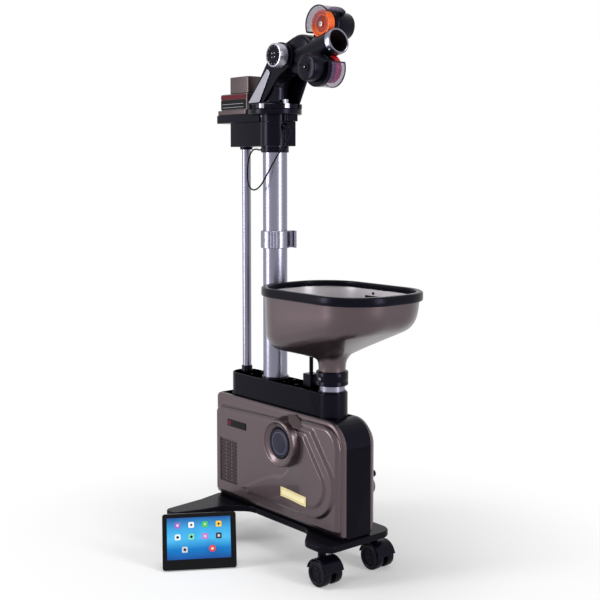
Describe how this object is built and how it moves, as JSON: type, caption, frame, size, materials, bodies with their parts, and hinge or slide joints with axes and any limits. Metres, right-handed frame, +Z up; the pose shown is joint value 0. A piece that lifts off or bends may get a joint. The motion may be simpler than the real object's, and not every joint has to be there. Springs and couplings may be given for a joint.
{
  "type": "table tennis robot",
  "caption": "Castered table tennis ball thrower with a hopper, a tower tube, a two wheel throwing head and a tablet controller.",
  "frame": {"origin": "bottom centre of the bounding box, on the floor", "axes": "+Z up, +X the way the balls are thrown, +Y towards the side away from the badge"},
  "size_m": [0.5264, 0.4602, 1.0983],
  "materials": {
    "bronze_plastic": "metallic lacquer, glossy",
    "black_plastic": "satin",
    "black_metal": "satin black paint",
    "caster_rubber": "worn smooth",
    "rim_rubber": "satin",
    "cable_jacket": "satin",
    "silver_tube": "polished anodised",
    "knurled_metal": "knurled, bright rim, black face",
    "bare_steel": "plain",
    "white_plastic": "moulded",
    "circuit_green": "lacquered board",
    "orange_tread": "soft tread",
    "red_tread": "soft tread",
    "smoked_guard": "clear smoked",
    "screen": "lit display"
  },
  "bodies": {
    "frame": {"base_plate": "black_metal", "rear_crossbar": "black_metal", "core_frame": "black_plastic", "near_shell": "bronze_plastic", "far_shell": "bronze_plastic", "medallion": "black_plastic", "far_cap": "black_plastic", "vent_grille": "black_plastic", "feed_motor": "bare_steel", "ball_channel": "white_plastic", "power_supply": "bare_steel", "control_board": "circuit_green", "power_inlet": "black_plastic", "deck_housing": "black_plastic", "tower_tube": "silver_tube", "hopper_tube": "silver_tube", "cable_tube": "silver_tube", "cable_tube_foot": "black_plastic", "cable_tube_cap": "black_plastic", "tower_clip": "silver_tube", "tower_collar": "black_plastic", "stay_socket": "black_plastic", "head_block": "black_plastic", "swing_motor": "bare_steel", "swing_plate": "black_metal", "control_case": "bronze_plastic", "control_lid": "bronze_plastic", "cable_gland": "black_plastic", "head_cable": "cable_jacket"},
    "caster_front_near": {"caster_hood_front_near": "black_plastic"},
    "wheels_front_near": {"caster_wheels_front_near": "caster_rubber"},
    "caster_front_far": {"caster_hood_front_far": "black_plastic"},
    "wheels_front_far": {"caster_wheels_front_far": "caster_rubber"},
    "caster_rear_near": {"caster_hood_rear_near": "black_plastic"},
    "wheels_rear_near": {"caster_wheels_rear_near": "caster_rubber"},
    "caster_rear_far": {"caster_hood_rear_far": "black_plastic"},
    "wheels_rear_far": {"caster_wheels_rear_far": "caster_rubber"},
    "feed_wheel": {"feed_rotor": "white_plastic"},
    "rocker": {"power_switch": "black_plastic"},
    "pinion": {"swing_pinion": "white_plastic"},
    "turret": {"turntable": "black_plastic", "head_bracket": "black_plastic", "near_gusset": "silver_tube", "far_gusset": "silver_tube"},
    "thrower": {"throw_housing": "black_plastic", "nozzle_ring": "silver_tube", "top_motor": "black_metal", "bottom_motor": "black_metal", "top_guard": "smoked_guard", "bottom_guard": "smoked_guard"},
    "knob": {"tilt_knob": "knurled_metal"},
    "upper_wheel": {"top_wheel": "orange_tread"},
    "lower_wheel": {"bottom_wheel": "red_tread"},
    "hopper": {"hopper_bowl": "bronze_plastic", "hopper_rim": "rim_rubber", "hopper_collar": "black_plastic", "stay_rod": "bare_steel"},
    "controller": {"tablet_case": "black_plastic", "tablet_screen": "screen", "tablet_stand": "black_plastic"}
  },
  "joints": [
    {"name": "swivel_front_near", "type": "hinge", "parent": "frame", "child": "caster_front_near", "pos_m": [0.1268, -0.02791, 0.06], "axis": [0, 0, 1], "continuous": true},
    {"name": "roll_front_near", "type": "hinge", "parent": "caster_front_near", "child": "wheels_front_near", "pos_m": [0.1368, -0.02791, 0.02469], "axis": [0, 1, 0], "continuous": true},
    {"name": "swivel_front_far", "type": "hinge", "parent": "frame", "child": "caster_front_far", "pos_m": [0.1268, 0.10809, 0.06], "axis": [0, 0, 1], "continuous": true},
    {"name": "roll_front_far", "type": "hinge", "parent": "caster_front_far", "child": "wheels_front_far", "pos_m": [0.1368, 0.10809, 0.02469], "axis": [0, 1, 0], "continuous": true},
    {"name": "swivel_rear_near", "type": "hinge", "parent": "frame", "child": "caster_rear_near", "pos_m": [-0.2162, -0.12291, 0.06], "axis": [0, 0, 1], "continuous": true},
    {"name": "roll_rear_near", "type": "hinge", "parent": "caster_rear_near", "child": "wheels_rear_near", "pos_m": [-0.2062, -0.12291, 0.02469], "axis": [0, 1, 0], "continuous": true},
    {"name": "swivel_rear_far", "type": "hinge", "parent": "frame", "child": "caster_rear_far", "pos_m": [-0.2162, 0.20309, 0.06], "axis": [0, 0, 1], "continuous": true},
    {"name": "roll_rear_far", "type": "hinge", "parent": "caster_rear_far", "child": "wheels_rear_far", "pos_m": [-0.2062, 0.20309, 0.02469], "axis": [0, 1, 0], "continuous": true},
    {"name": "feed_spin", "type": "hinge", "parent": "frame", "child": "feed_wheel", "pos_m": [0.0788, 0.04009, 0.177], "axis": [0, 1, 0], "continuous": true},
    {"name": "switch_rock", "type": "hinge", "parent": "frame", "child": "rocker", "pos_m": [-0.2475, 0.04009, 0.152], "axis": [0, 1, 0], "range_deg": [-8, 8]},
    {"name": "head_swing", "type": "hinge", "parent": "frame", "child": "turret", "pos_m": [-0.0982, 0.04009, 0.905], "axis": [0, 0, 1], "range_deg": [-25, 25]},
    {"name": "pinion_spin", "type": "hinge", "parent": "frame", "child": "pinion", "pos_m": [-0.1652, 0.04009, 0.901], "axis": [0, 0, 1], "range_deg": [-75, 75]},
    {"name": "head_tilt", "type": "hinge", "parent": "turret", "child": "thrower", "pos_m": [-0.0392, 0.04009, 1.007], "axis": [0, 1, 0], "range_deg": [-12, 20]},
    {"name": "knob_turn", "type": "hinge", "parent": "thrower", "child": "knob", "pos_m": [-0.0392, 0.00009, 1.007], "axis": [0, -1, 0], "range_deg": [-90, 90]},
    {"name": "upper_spin", "type": "hinge", "parent": "thrower", "child": "upper_wheel", "pos_m": [0.05062, 0.04009, 1.06248], "axis": [0, 1, 0], "continuous": true},
    {"name": "lower_spin", "type": "hinge", "parent": "thrower", "child": "lower_wheel", "pos_m": [0.0708, 0.04009, 0.97508], "axis": [0, 1, 0], "continuous": true},
    {"name": "hopper_lift", "type": "slide", "parent": "frame", "child": "hopper", "axis": [0, 0, 1], "range_m": [0, 0.06]},
    {"name": "tablet_lift", "type": "slide", "parent": "frame", "child": "controller", "axis": [0, 0, 1], "range_m": [0, 0.3]}
  ],
  "couplings": [
    {"joint": "pinion_spin", "follows": "head_swing", "ratio": -2.8333}
  ]
}
